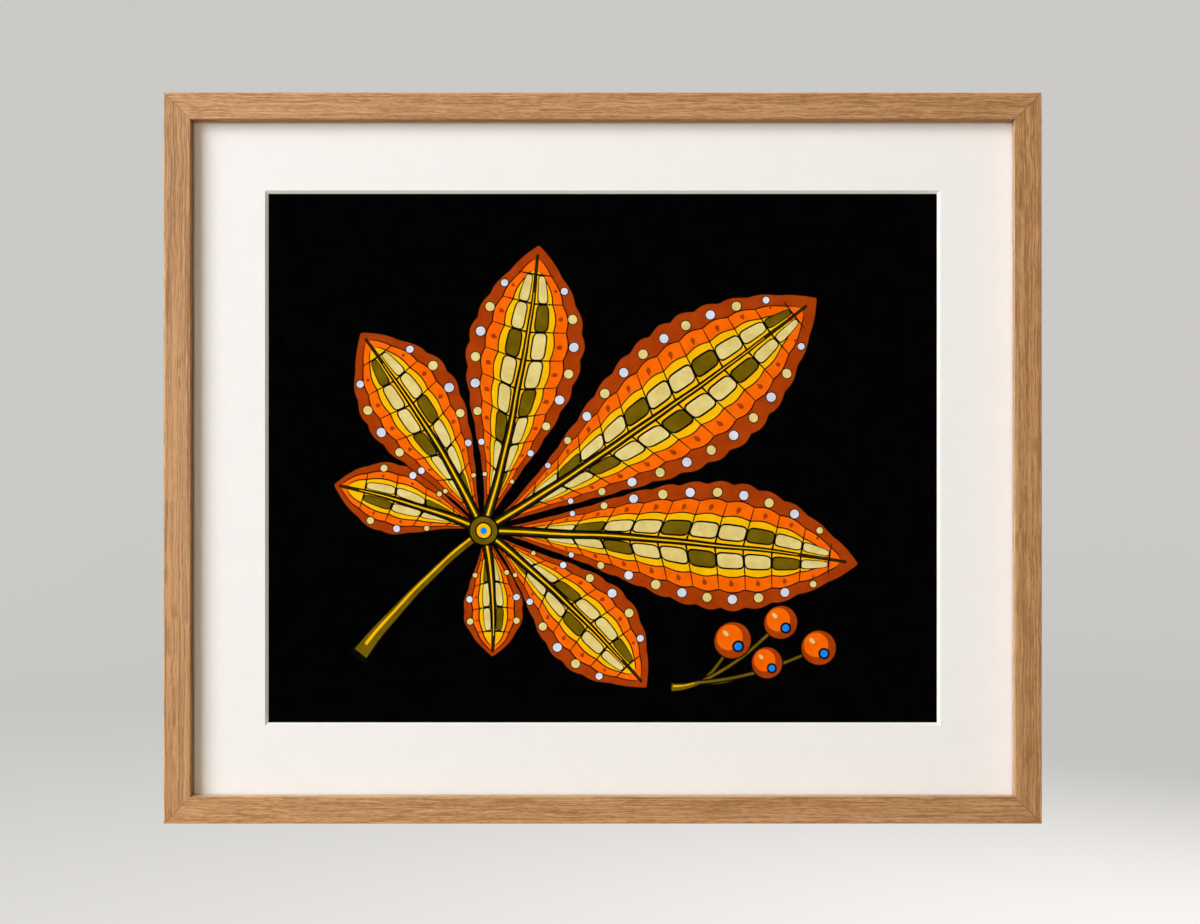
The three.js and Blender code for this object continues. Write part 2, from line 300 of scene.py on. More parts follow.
# The tint of the painted highlight on the softened outer edges, which also stands for paler sanded
# wood.
HIGHLIGHT_AND_WEAR_TONE = (1.35, 1.4, 1.45)


def along_grain(axis, length, width):
    """How often a pattern repeats in each direction: seldom along the grain, often across it."""
    return [1 / length if i == axis else 1 / width for i in range(3)]


def wander(wood, place):
    """The place plus WANDER times a slow noise's three channels, each less a half."""
    slow = wood.noise(place, 1 / WANDER_SPACING, detail=1.0).outputs["Color"]
    centred = wood.add("ShaderNodeVectorMath", {0: slow, 1: (0.5, 0.5, 0.5)}, operation="SUBTRACT")
    values = {0: centred.outputs[0], "Scale": WANDER}
    push = wood.add("ShaderNodeVectorMath", values, operation="SCALE")
    moved = wood.add("ShaderNodeVectorMath", {0: place, 1: push.outputs[0]}, operation="ADD")
    return moved.outputs[0]


def oak(name, axis, line_share, shift, tones, painted_light_and_shade_tone):
    """Oak with its grain along one axis, its streaks wandering a little. How light a spot is
    comes from (1 - line_share) times its streaks plus line_share times the lines of the years."""
    wood = Recipe(name, Specular_IOR_Level=0.35)
    grain = wander(wood, wood.place(shift))

    def layer(length, width):
        """A noise whose spots are that long down the grain and that wide across it."""
        where = wood.stretch(grain, along_grain(axis, length, width))
        return wood.noise(where, 1.0, 1.0).outputs["Fac"]

    flecks = wood.reckon(layer(*FLECK), "MULTIPLY", FLECK_SHARE)
    streaks = wood.reckon(layer(*STREAK), "MULTIPLY", 1 - FLECK_SHARE)
    streaks = wood.reckon(flecks, "ADD", streaks)
    pores = wood.fit(layer(*PORE), 0.6, 0.74, 0.0, PORE_SHARE)
    lines = wood.reckon(layer(*LINE_OF_YEARS), "MULTIPLY", line_share)
    mood = wood.reckon(wood.reckon(streaks, "MULTIPLY", 1 - line_share), "ADD", lines)
    colour = wood.ramp(mood, [(0.395, OAK_DARK), (0.5, OAK_MIDDLE), (0.6, OAK_LIGHT)])
    colour = wood.blend(pores, colour, OAK_PORE)

    along_x = wood.add("ShaderNodeSeparateXYZ", {"Vector": wood.place()}).outputs["X"]
    # Painted light: the tone runs from the left end's factor to the right end's, so the top and
    # bottom rails darken from left to right as if the light from the left falls off.
    colour = wood.tint(colour, wood.fit(along_x, -half_width, half_width, *tones))
    colour = wood.blend(mitre_seam(wood), colour, wood.tint(colour, (*MITRE_TONE, 1.0)))
    highlight_and_wear_colour = wood.tint(colour, (*HIGHLIGHT_AND_WEAR_TONE, 1.0))
    painted_light_and_shade_colour = wood.tint(colour, (*painted_light_and_shade_tone, 1.0))
    # A painted highlight on the softened outer edges, which also stands for paler sanded wood.
    colour = wood.blend(highlight_and_wear_edge(wood), colour, highlight_and_wear_colour)
    # Painted light and shade on the lip's inner wall: the rail's tint darkens or pales it.
    colour = wood.blend(sight_edge(wood), colour, painted_light_and_shade_colour)
    roughness = wood.fit(streaks, 0.3, 0.7, 0.54, 0.42)
    wood.feed(wood.shader, {"Base Color": colour, "Roughness": roughness})
    height = wood.reckon(streaks, "SUBTRACT", wood.reckon(pores, "MULTIPLY", 1.5))
    wood.relief(height, GRAIN_RELIEF, 0.5)
    return wood.material


print("streaks to the metre, along X, Y and Z:", np.round(along_grain(0, *STREAK)))

# %% [markdown]
# Every stick comes from another place in the tree. So each has its grain's direction, its share of
# long lines, its own shift through the noise, and a tone for its left and right end; on the top and
# bottom sticks the right end is darker, a painted falloff of the light from the left. Each also has
# a tint for its sight edge: painted shade on the left and top sticks, and painted light on the
# right and bottom ones.

# %% The four sticks
ALONG_X, ALONG_Z = 0, 2
# Tints of the sight edge: painted shade on the left and top inner walls, painted light on the right
# and bottom ones, as if lit from the upper left.
PAINTED_SHADE_LEFT, PAINTED_SHADE_TOP = (0.9, 0.69, 0.2), (1.0, 0.66, 0.15)
PAINTED_LIGHT_RIGHT, PAINTED_LIGHT_BOTTOM = (1.48, 1.64, 1.74), (1.7, 1.95, 2.25)
# Columns: grain axis, share of long lines, shift through the noise, tone at the left and right end
# (a painted falloff of the light on the top and bottom rails), and the sight edge's tint (painted
# shade on the left and top rails, painted light on the right and bottom rails).
RAILS = {
    "rail_top": (ALONG_X, 0.28, (0.31, 0.12, 0.77), (1.055, 0.905), PAINTED_SHADE_TOP),
    "rail_right": (ALONG_Z, 0.54, (0.53, 0.91, 0.15), (0.935, 0.935), PAINTED_LIGHT_RIGHT),
    "rail_bottom": (ALONG_X, 0.28, (0.87, 0.44, 0.29), (1.09, 0.905), PAINTED_LIGHT_BOTTOM),
    "rail_left": (ALONG_Z, 0.6, (0.11, 0.68, 0.59), (0.95, 0.95), PAINTED_SHADE_LEFT),
}
for rail, stick in RAILS.items():
    dress([rail], oak("oak_" + rail.removeprefix("rail_"), *stick))
print("oak on", ", ".join(RAILS))

# %% [markdown]
# ## Window mat
# Mat board is a white core between two sheets of paper. A cutter held at 45 degrees lays the
# core open as a bright line round the window. The solid has that bevel, so the material only
# needs to know which faces are cut: theirs are the only ones that look partly sideways. The
# direction of the face tells it, with no second material and no mask to paint.

# %% Mat board
MAT_FACE = paint(247, 244, 242)
MAT_SHADE = paint(244, 241, 239)
MAT_CORE = paint(252, 250, 246)
MAT_CLOUDS = 60.0  # to the metre, as are all counts of clouds, fibres and grains below
MAT_FIBRES = (900, 900, 350)


def mat_board():
    """Paper on the flat faces and core on the cut ones, by how squarely a face looks along Y."""
    board = Recipe("mat_paper", Roughness=0.9, Specular_IOR_Level=0.15)
    place = board.place()
    cloudy = board.noise(place, MAT_CLOUDS, 3.0, 0.6).outputs["Fac"]
    fibre = board.noise(board.stretch(place, MAT_FIBRES), 1.0, 2.0, 0.6).outputs["Fac"]
    mood = board.reckon(cloudy, "MULTIPLY", fibre)
    paper = board.ramp(mood, [(0.1, MAT_SHADE), (0.4, MAT_FACE)])
    on_face = board.fit(looks_squarely(board), 0.8, 0.95, 0, 1)
    board.feed(board.shader, {"Base Color": board.blend(on_face, MAT_CORE, paper)})
    board.relief(fibre, 0.03 * MM, 0.5)
    return board.material


dress(["window_mat"], mat_board())
print("window mat:", nodes["window_mat"].data.materials[0].name)

# %% [markdown]
# ## Glass
# Picture glass lets nearly everything through and gives back a faint gleam. A full glass shader
# bends every ray and blocks the lamps' shadows, which turns the print behind it dark and grainy.
# A mostly see-through surface with a thin gloss gives the same look and stays clean. Its cut
# edges are green, because there the eye looks along the sheet.

# %% Picture glass
GLASS_CLEAR = paint(250, 252, 251)
GLASS_EDGE = paint(150, 190, 175)
GLASS_SHARE = 0.05


def picture_glass():
    """Nearly clear on the faces, and green where a face looks sideways, along the sheet's edge."""
    glass = Recipe(
        "picture_glass",
        Roughness=0.02,
        IOR=1.45,
        Alpha=GLASS_SHARE,
        Transmission_Weight=1.0,
    )
    colour = glass.ramp(looks_squarely(glass), [(0.2, GLASS_EDGE), (0.8, GLASS_CLEAR)])
    glass.feed(glass.shader, {"Base Color": colour})
    return glass.material


dress(["glass"], picture_glass())
print("glass:", nodes["glass"].data.materials[0].name)

# %% [markdown]
# ## Boards behind the print
# The filler is foam between two white papers, and shows only as a thin pale line if the back is
# off. The back is hardboard: wood fibre pressed flat in a hot press, smooth and brown, with
# fibres lying every way. One noise stretched along a line gives the fibres that lie that way,
# so four of them, each turned further, give the felt, and the strongest fibre wins in each spot.

# %% Foam board and hardboard
FOAM_PAPER = paint(240, 238, 232)
FOAM_SHADE = paint(228, 225, 217)
BOARD_DARK = paint(104, 71, 44)
BOARD_MIDDLE = paint(126, 89, 57)
BOARD_LIGHT = paint(158, 119, 82)
FIBRE_LENGTH, FIBRE_WIDTH = 4.5 * MM, 0.4 * MM
FIBRE_TURNS = (0.2, 1.0, 1.8, 2.6)  # radians
CLOUD_SHARE = 0.12
FOAM_CLOUDS, BOARD_CLOUDS = 90.0, 24.0


def foam_board():
    """White paper with a slow, faint cloud in it."""
    board = Recipe("foam_board_paper", Roughness=0.85, Specular_IOR_Level=0.2)
    cloudy = board.noise(board.place(), FOAM_CLOUDS, 3.0, 0.6).outputs["Fac"]
    colour = board.ramp(cloudy, [(0.3, FOAM_SHADE), (0.7, FOAM_PAPER)])
    board.feed(board.shader, {"Base Color": colour})
    board.relief(cloudy, 0.05 * MM, 0.4)
    return board.material


def hardboard():
    """Pressed fibre: threads that lie in four directions, over a slow, faint cloud."""
    board = Recipe("pressed_fibre", Specular_IOR_Level=0.3)
    place = board.place()
    threads = 0.0
    size = (1 / FIBRE_LENGTH, 1 / FIBRE_LENGTH, 1 / FIBRE_WIDTH)
    for number, turn in enumerate(FIBRE_TURNS):
        turned = board.add("ShaderNodeMapping", {"Vector": place, "Rotation": (0.0, turn, 0.0)})
        lying = board.stretch(turned.outputs["Vector"], size, (number * 3.7, 0.0, number * 5.1))
        fibres = board.noise(lying, 1.0, 1.0).outputs["Fac"]
        threads = board.reckon(threads, "MAXIMUM", fibres)
    cloudy = board.noise(place, BOARD_CLOUDS, 3.0, 0.55).outputs["Fac"]
    cloudy = board.reckon(cloudy, "MULTIPLY", CLOUD_SHARE)
    mood = board.reckon(cloudy, "ADD", board.reckon(threads, "MULTIPLY", 1 - CLOUD_SHARE))
    colour = board.ramp(mood, [(0.52, BOARD_DARK), (0.6, BOARD_MIDDLE), (0.72, BOARD_LIGHT)])
    roughness = board.fit(threads, 0.5, 0.75, 0.52, 0.66)
    board.feed(board.shader, {"Base Color": colour, "Roughness": roughness})
    board.relief(threads, 0.05 * MM, 0.5)
    return board.material


dress(["foam_board"], foam_board())
dress(["backing_board"], hardboard())
print("boards:", [nodes[n].data.materials[0].name for n in ("foam_board", "backing_board")])

# %% [markdown]
# ## Metal and rubber
# Stamped parts are never mirror smooth: the plating has a faint cloud of colour, and handling
# leaves hairlines. Both come from noise on the roughness and the colour, which costs little and
# holds up close by. The rubber bumpers are black, matt and a little dusty.

# %% Zinc, brass and rubber
PLATE_CLOUDS, RUBBER_DUST = 220.0, 1500.0
PLATE_ROUGHNESS = (0.24, 0.44)  # in the hollows and on the ridges of the hairlines


def plated(name, dark, light, hairline_scale):
    """Plated sheet metal: a cloud of two tones, and hairlines from a stretched noise."""
    metal = Recipe(name, Metallic=1.0)
    place = metal.place()
    cloud = metal.noise(place, PLATE_CLOUDS, 2.0).outputs["Fac"]
    hairlines = metal.noise(metal.stretch(place, hairline_scale), 1.0, 2.0).outputs["Fac"]
    colour = metal.ramp(cloud, [(0.35, dark), (0.65, light)])
    roughness = metal.fit(hairlines, 0.3, 0.7, *PLATE_ROUGHNESS)
    metal.feed(metal.shader, {"Base Color": colour, "Roughness": roughness})
    metal.relief(hairlines, 0.004 * MM, 0.4)
    return metal.material


def bumper_rubber():
    """Black rubber with a pale dust in the hollows of a fine noise."""
    rubber = Recipe("bumper_rubber", Specular_IOR_Level=0.35)
    grain = rubber.noise(rubber.place(), RUBBER_DUST, 3.0, 0.6).outputs["Fac"]
    colour = rubber.ramp(grain, [(0.4, paint(24, 24, 25)), (0.75, paint(58, 57, 55))])
    roughness = rubber.fit(grain, 0.3, 0.7, 0.7, 0.9)
    rubber.feed(rubber.shader, {"Base Color": colour, "Roughness": roughness})
    rubber.relief(grain, 0.04 * MM, 0.6)
    return rubber.material


zinc = plated("zinc_plate", paint(186, 189, 193), paint(206, 208, 209), (2500, 2500, 300))
brass = plated("brass_plate", paint(192, 160, 101), paint(208, 178, 120), (300, 2500, 2500))
fasteners = [n for n in nodes if n.startswith(("screw_", "v_nail_"))]
dress(fasteners, zinc)
dress([n for n in nodes if n.startswith("hanger_tack_")], brass)
dress([n for n in nodes if n.startswith("bumper_")], bumper_rubber())
print("zinc on", ", ".join(fasteners))

# %% [markdown]
# ## Turn buttons and hanger, with rounded edges
# A press punches these from sheet, which rounds their rims a little, and a rim without that
# catches no light and looks like paper. The solids' own meshes stay as packed, so each gets a
# dressed double: the same faces with their shared corners joined, and a Bevel modifier on the
# sharp edges. The double stands for the solid and moves with the same body.

# %% Dressed doubles
BUTTON_RIM, HANGER_RIM = 0.16 * MM, 0.1 * MM
SHARP = math.radians(40)
FLAT = math.radians(1)
SAME_CORNER = 0.002 * MM
body_of_node = {n: b for b, ns in frame["record"]["behaviour"]["bodies"].items() for n in ns}


def dressed_double(node, material, rim):
    """A copy of the solid, with equal corners merged and sharp edges rounded to that radius."""
    mesh = nodes[node].data.copy()
    soft = bmesh.new()
    soft.from_mesh(mesh)
    bmesh.ops.remove_doubles(soft, verts=soft.verts, dist=SAME_CORNER)
    bmesh.ops.dissolve_limit(soft, angle_limit=FLAT, verts=soft.verts, edges=soft.edges)
    bmesh.ops.recalc_face_normals(soft, faces=soft.faces)
    soft.to_mesh(mesh)
    soft.free()
    mesh.materials.clear()
    mesh.materials.append(material)
    mesh.shade_smooth()
    piece = bpy.data.objects.new(node + "_stamped", mesh)
    bpy.context.scene.collection.objects.link(piece)
    bevel = piece.modifiers.new("rim", "BEVEL")
    bevel.width, bevel.segments = rim, 2
    bevel.limit_method, bevel.angle_limit = "ANGLE", SHARP
    bevel.harden_normals = True
    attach(piece, body_of_node[node])
    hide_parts(node)


for node in [n for n in nodes if n.startswith("turn_button_")]:
    dressed_double(node, zinc, BUTTON_RIM)
dressed_double("sawtooth_hanger", brass, HANGER_RIM)

# %% [markdown]
# ## The print: a spray in gouache
# The sheet behind the window is painted in flat, opaque colours on black, with thin dark lines
# between them. It could be an image, but a drawing made of real outlines stays crisp at any
# distance. Every shape is a closed outline in millimetres from the middle of the sheet, given in
# the order of painting. A triangulation of all the outlines together then cuts the flat sheet
# into pieces that meet without gaps, and each piece takes the colour that was painted last.

# %% Pigments
PIGMENTS = {
    "black": (paint(0, 0, 0), paint(3, 3, 3)),
    "ink": (paint(8, 6, 5), paint(17, 13, 10)),
    "rust": (paint(158, 55, 6), paint(176, 66, 10)),
    "orange": (paint(246, 98, 0), paint(255, 112, 8)),
    "yellow": (paint(248, 184, 0), paint(255, 198, 14)),
    "cream": (paint(220, 197, 114), paint(235, 217, 145)),
    "olive": (paint(100, 80, 2), paint(120, 98, 12)),
    "dark_olive": (paint(38, 33, 0), paint(54, 47, 6)),
    "white": (paint(206, 209, 224), paint(230, 232, 243)),
    "blue": (paint(8, 122, 236), paint(28, 142, 255)),
}
PAINT_CLOUDS, PAPER_TOOTH = 130.0, 2600.0


def gouache(name, thin, thick):
    """Opaque paint, a little cloudy where the brush left more of it, on faintly rough paper."""
    pigment = Recipe("gouache_" + name, Specular_IOR_Level=0.01, Roughness=0.9)
    place = pigment.place()
    cloud = pigment.noise(place, PAINT_CLOUDS, 4.0, 0.65).outputs["Fac"]
    tooth = pigment.noise(place, PAPER_TOOTH, 1.0).outputs["Fac"]
    colour = pigment.ramp(cloud, [(0.35, thin), (0.65, thick)])
    pigment.feed(pigment.shader, {"Base Color": colour})
    pigment.relief(tooth, 0.02 * MM, 0.3)
    return pigment.material


print("pigments:", ", ".join(PIGMENTS))

# %% [markdown]
# A brush is steadier than it looks: its lines drift by a few tenths of a millimetre, and
# neighbours drift together. So one slow field of waves pushes every outline, after all are
# drawn, in place of a separate wobble for each.

# %% Outlines: closed curves, strokes and discs
painted = []  # (pigment, outline as an array of points in mm), in the order of painting
WOBBLE = 0.45  # mm


def wobble(points):
    """Each point is pushed by two slow waves that cross, so near points move alike."""
    x, y = points.T
    push_x = np.sin(y / 11.0 + 1.3) + 0.6 * np.sin((x + y) / 6.3)
    push_y = np.sin(x / 12.5 + 0.4) + 0.6 * np.sin((x - y) / 7.1 + 2.0)
    return points + WOBBLE / 2 * np.stack([push_x, push_y], axis=1)


def lay(pigment, points):
    """Paints a closed outline, turned so that its inside is on its left: the sum of x times the
    next y less the next x times y is twice its area, and negative if it runs clockwise."""
    points = np.asarray(points, float)
    x, y = points.T
    if np.sum(x * np.roll(y, -1) - np.roll(x, -1) * y) < 0:
        points = points[::-1]
    painted.append((pigment, wobble(points)))


def disc(middle, radius, count=22, squash=1.0, turn=0.0):
    """A round or oval outline: a circle, squashed and then turned."""
    angle = np.linspace(0, 2 * np.pi, count, endpoint=False)
    flat = radius * np.stack([np.cos(angle), squash * np.sin(angle)], axis=1)
    spin = np.array([[np.cos(turn), np.sin(turn)], [-np.sin(turn), np.cos(turn)]])
    return np.asarray(middle) + flat @ spin


def stroke(path, widths):
    """A brush line: the path, shifted to its left and back along its right by half the width."""
    path = np.asarray(path, float)
    run = np.gradient(path, axis=0)
    side = np.stack([-run[:, 1], run[:, 0]], axis=1)
    side /= np.linalg.norm(side, axis=1, keepdims=True)
    half = np.asarray(widths, float)[:, None] / 2
    return np.concatenate([path + side * half, (path - side * half)[::-1]])


def bow(start, pull, end, count):
    """A curve drawn towards one point: (1 - t)^2 start + 2 t (1 - t) pull + t^2 end."""
    t = np.linspace(0, 1, count)[:, None]
    start, pull, end = np.array(start), np.array(pull), np.array(end)
    return (1 - t) ** 2 * start + 2 * t * (1 - t) * pull + t**2 * end


def drop(tip, tail, width, count=12):
    """A tear drop from its sharp tip to its round tail: its width follows a sine of a power of
    the way down, so that it is fullest past the middle."""
    tip, tail = np.asarray(tip, float), np.asarray(tail, float)
    share = np.linspace(0, 1, count)[1:-1]
    run = tail - tip
    side = np.array([-run[1], run[0]]) / np.linalg.norm(run)
    wide = width / 2 * np.sin(np.pi * share**1.6) ** 0.75
    spine = tip + share[:, None] * run
    left, right = spine + wide[:, None] * side, spine - wide[:, None] * side
    return np.concatenate([[tip], left, [tail], right[::-1]])


drift = wobble(disc((0, 0), 100.0, 400)) - disc((0, 0), 100.0, 400)
print("an outline drifts by up to, mm:", round(float(np.abs(drift).max()), 2))

# %% [markdown]
# One leaflet is a sheet of its own coordinates: s runs from its foot to its tip along a bent
# midrib, and f from one edge to the other. Side veins lean forward, so a line of equal s leans
# forward too. With such coordinates, every band, cell, vein and dot of the leaf is a plain
# rectangle, line or spot in s and f, and takes the leaf's curve by itself.

# %% The leaflet
CORNER = 4.5  # 2 is an oval, and a large number is a box with sharp corners
LEAN = 0.09


class Leaflet:
    """A leaf blade with a bent midrib. A point is the midrib's at s plus the lean, plus f times
    the half width along the midrib's normal; the half width is a sine of s, fullest past the
    middle."""

    def __init__(self, foot, heading, length, width, bend):
        self.foot = np.asarray(foot, float)
        self.heading, self.bend = math.radians(heading), math.radians(bend)
        self.length, self.half = length, width / 2
        self.veins = max(5, round(length / 15))

    def rib(self, s):
        """The midrib is an arc whose direction turns evenly from foot to tip, so a point on it is
        the foot plus the length times the change of (sine, -cosine) of the angle over the bend."""
        angle = self.heading + self.bend * (s - 0.5)
        start = self.heading - self.bend / 2
        over = np.sin(angle) - math.sin(start)
        up = math.cos(start) - np.cos(angle)
        walk = np.stack([over, up], axis=1) / self.bend
        normal = np.stack([-np.sin(angle), np.cos(angle)], axis=1)
        return self.foot + self.length * walk, normal

    def at(self, s, f):
        """The point for each pair of s and f."""
        s, f = np.broadcast_arrays(np.asarray(s, float), np.asarray(f, float))
        s, f = s.ravel(), f.ravel()
        lean = LEAN * np.abs(f) * np.sin(np.pi * np.clip(s, 0, 1)) ** 0.7
        spot, normal = self.rib(s + lean * (1 - s))
        half = self.half * np.sin(np.pi * np.clip(s, 0, 1) ** 1.35) ** 0.85
        return spot + (f * half)[:, None] * normal

    def band(self, edge, first, last, ripple=0.0, grow=0.0, count=110):
        """The whole blade out to f = edge, from s = first to last, its sides rippled once for
        each vein and grown outwards by some millimetres. A band that stops short of the blade's
        ends is rounded there: its reach falls as the root of one less a high power."""
        t = np.linspace(0, 1, count)
        s = first + (last - first) * t
        reach = edge + ripple * np.abs(np.sin(np.pi * self.veins * s))
        if first > 0:
            reach = reach * np.sqrt(1 - np.abs(2 * t - 1) ** 9)
        upper = self.at(s, reach)
        lower = self.at(s, -reach)[::-1]
        outline = np.concatenate([upper, lower[1:-1]])
        if not grow:
            return outline
        middle = self.at(s, 0.0)
        towards = np.concatenate([middle, middle[::-1][1:-1]])
        away = outline - towards
        size = np.linalg.norm(away, axis=1, keepdims=True)
        away = np.where(size > 1e-6, away / np.maximum(size, 1e-6), 0.0)
        return outline + grow * away

    def cell(self, side, low, high, near, far, count=36):
        """The patch between two side veins, from f = near to f = far: a circle in s and f whose
        cosine and sine are raised to a power below one, which pushes it into its corners."""
        angle = np.linspace(0, 2 * np.pi, count, endpoint=False)
        along, across = np.cos(angle), np.sin(angle)
        along = np.sign(along) * np.abs(along) ** (2 / CORNER)
        across = np.sign(across) * np.abs(across) ** (2 / CORNER)
        s = (low + high) / 2 + along * (high - low) / 2
        return self.at(s, side * ((near + far) / 2 + across * (far - near) / 2))


print("tip of a leaflet 100 mm long, mm:", np.round(Leaflet((0, 0), 0, 100, 40, 10).at(1, 0)[0], 1))

# %% [markdown]
# The leaf is built up as a painter would do it: a dark rim and the widest colour first, then the
# narrower bands over it, and the cells between the side veins. Beyond each cell lie a drop and a
# spot. The veins and the midrib come last, and so lie on top.

# %% Bands, cells and veins
LINE = 0.7  # the thin dark lines, in mm
BANDS = [  # pigment, reach in f, first and last s, depth of the scallops in f
    ("rust", 1.0, 0.0, 1.0, 0.055),
    ("orange", 0.7, 0.04, 0.955, 0.05),
    ("yellow", 0.46, 0.08, 0.915, 0.04),
]
CELL_NEAR, CELL_FAR = 0.12, 0.35


def paint_bands(leaf):
    """From the bottom up: the margin, the band and the middle, each on a dark rim."""
    for pigment, *shape in BANDS:
        lay("ink", leaf.band(*shape, grow=LINE))
        lay(pigment, leaf.band(*shape))


def paint_cell(leaf, side, k, low, high):
    """One patch between two veins: a cream or olive cell, a rust drop beyond it in the orange,
    and a spot on the margin."""
    gap = LINE / leaf.length
    lay("ink", leaf.cell(side, low + gap / 4, high - gap / 4, CELL_NEAR - 0.03, CELL_FAR + 0.03))
    cell = leaf.cell(side, low + gap, high - gap, CELL_NEAR, CELL_FAR)
    lay("olive" if (k + (side > 0)) % 3 == 0 else "cream", cell)
    middle = (low + high) / 2
    width = leaf.half * math.sin(math.pi * middle**1.35)
    if 0.15 < middle < 0.92:
        tip, tail = leaf.at(middle - 0.004, side * 0.54)[0], leaf.at(middle, side * 0.665)[0]
        lay("rust", drop(tip, tail, min(0.1 * width, 2.4)))
        spot = leaf.at(middle, side * 0.865)[0]
        size = min(0.078 * width + 0.55, 2.4)
        lay("ink", disc(spot, size + 0.7 * LINE))
        lay("white" if k % 2 else "cream", disc(spot, size))


def paint_leaflet(leaf):
    """Bands first, then the cells between the veins, the veins, and the midrib over all."""
    paint_bands(leaf)
    marks = np.arange(1, leaf.veins) / leaf.veins
    for side in (1, -1):
        for k, (low, high) in enumerate(zip(marks[:-1], marks[1:])):
            paint_cell(leaf, side, k, low, high)
        for mark in marks:
            path = leaf.at(mark, side * np.linspace(0.02, 0.7, 9))
            lay("ink", stroke(path, np.linspace(1.5 * LINE, 0.6 * LINE, len(path))))

    s = np.linspace(0.0, 0.97, 60)
    rib = leaf.at(s, 0.0)
    lay("ink", stroke(rib, 4.6 * (1 - s) + 1.4))
    lay("dark_olive", stroke(rib, 3.2 * (1 - s) + 0.5))
    lay("yellow", stroke(rib[:-8], 1.1 * (1 - s[:-8]) + 0.15))


print("bands from the margin inwards:", [pigment for pigment, *_ in BANDS])

# %% [markdown]
# Seven leaflets spread from one point like the fingers of a hand, as on a horse chestnut, with
# the leaf stalk coming up from the lower left. Berries on thin stalks fill the corner at the
# lower right.

# %% Stalks and berries
HUB = (-62.0, -38.0)
BERRIES = [(68, -95, 9.5), (93, -86, 8.5), (86, -107, 8.0), (113, -99, 9.0)]


def paint_stalk():
    """The leaf stalk swells towards its cut end, and a light line follows its upper side."""
    t = np.linspace(0, 1, 40)
    path = bow(HUB, (-96.0, -62.0), (-128.0, -104.0), len(t))
    lay("ink", stroke(path, 5.0 + 4.6 * t**3))
    lay("olive", stroke(path[1:-1], 3.6 + 4.4 * t[1:-1] ** 3))
    lay("yellow", stroke(path[2:-3] + [-0.5, 0.7], 1.0 + 0.8 * t[2:-3] ** 3))


def paint_berry(x, y, radius):
    """A round berry: dark rim, rust body, orange cheek, pale light and a small blue crown."""
    lay("ink", disc((x, y), radius + LINE, 40))
    lay("rust", disc((x, y), radius, 40))
    lay("orange", disc((x - 0.16 * radius, y + 0.16 * radius), 0.72 * radius, 32))
    lay("ink", disc((x + 0.3 * radius, y - 0.35 * radius), 0.34 * radius, 20))
    lay("blue", disc((x + 0.3 * radius, y - 0.35 * radius), 0.22 * radius, 16))
    lay("cream", disc((x - 0.4 * radius, y + 0.4 * radius), 0.2 * radius, 16, 0.6, -0.8))


def paint_berry_stalks():
    """A twig comes in from the lower left, and thin stalks curve from its end to each berry."""
    fork = np.array([50.0, -117.0])
    t = np.linspace(0, 1, 24)[:, None]
    twig = fork + (1 - t) * [-14.0, -2.5] + t * (1 - t) * [0.0, -3.0]
    lay("ink", stroke(twig, 5.0 - 1.8 * t[:, 0]))
    lay("olive", stroke(twig, 3.8 - 2.0 * t[:, 0]))
    lay("yellow", stroke(twig[1:-4] + [0.2, 0.6], 0.9 - 0.5 * t[1:-4, 0]))
    for x, y, _ in BERRIES:
        pull = (fork + [x, y]) / 2 + [0, -7]
        path = bow(fork, pull, (x, y), len(t))
        lay("ink", stroke(path, np.full(len(t), 2.8)))
        lay("olive", stroke(path, np.full(len(t), 1.3)))


print("berries:", len(BERRIES))

# %% [markdown]
# Now the painting itself. Order matters, since later paint covers earlier paint: the stalk goes
# under the leaflets, the longest leaflet lies over its neighbours, and the hub covers all feet.

# %% Paint the spray
FINGERS = [  # heading in degrees, length, width, bend
    (163, 82, 35, 14),
    (-86, 66, 30, -14),
    (122, 122, 50, 12),
    (-44, 118, 46, -12),
    (79, 152, 58, 10),
    (-5, 196, 64, -8),
    (35, 212, 72, 6),
]

paint_stalk()
for finger in FINGERS:
    paint_leaflet(Leaflet(HUB, *finger))
lay("ink", disc(HUB, 8.2, 40))
lay("olive", disc(HUB, 7.2, 40))
lay("ink", disc(HUB, 4.6, 32))
lay("yellow", disc(HUB, 3.8, 32))
lay("blue", disc(HUB, 1.8, 20))
paint_berry_stalks()
for x, y, radius in BERRIES:
    paint_berry(x, y, radius)
spread = np.concatenate([points for _, points in painted])
print("painted shapes:", len(painted), "points:", len(spread))
print("the spray spans, mm:", np.round(spread.min(axis=0), 1), np.round(spread.max(axis=0), 1))

# %% [markdown]
# The sheet's own outline goes in first, as the black ground. The triangulation keeps every
# outline as a chain of edges, so no triangle lies half in a shape.

# %% Cut the sheet along all outlines
low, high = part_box("print")
sheet_middle = (low + high) / 2
half_wide, half_high = (high.x - low.x) / 2 / MM, (high.z - low.z) / 2 / MM
sheet = np.array([(-1, -1), (1, -1), (1, 1), (-1, 1)]) * [half_wide, half_high]
outlines = [sheet] + [points for _, points in painted]
order = ["black"] + [pigment for pigment, _ in painted]
starts = np.cumsum([0] + [len(o) for o in outlines])
corners = [Vector(c) for c in np.concatenate(outlines).tolist()]
after = np.arange(1, starts[-1] + 1)
after[starts[1:] - 1] = starts[:-1]
edges = np.stack([np.arange(starts[-1]), after], axis=1).tolist()
WHOLE_HULL = 0  # the triangulation's number for keeping every triangle
SAME_POINT = 1e-4
flat_points, _, flat_faces, *_ = delaunay_2d_cdt(corners, edges, [], WHOLE_HULL, SAME_POINT)
flat = np.array(flat_points)
flat_faces = np.array(flat_faces)
print("sheet cut into", len(flat_faces), "triangles")

# %% [markdown]
# Going through the shapes in the order of painting, each one takes the triangles whose middle it
# winds round, and the last to do so is the paint on top.

# %% Which paint lies on top


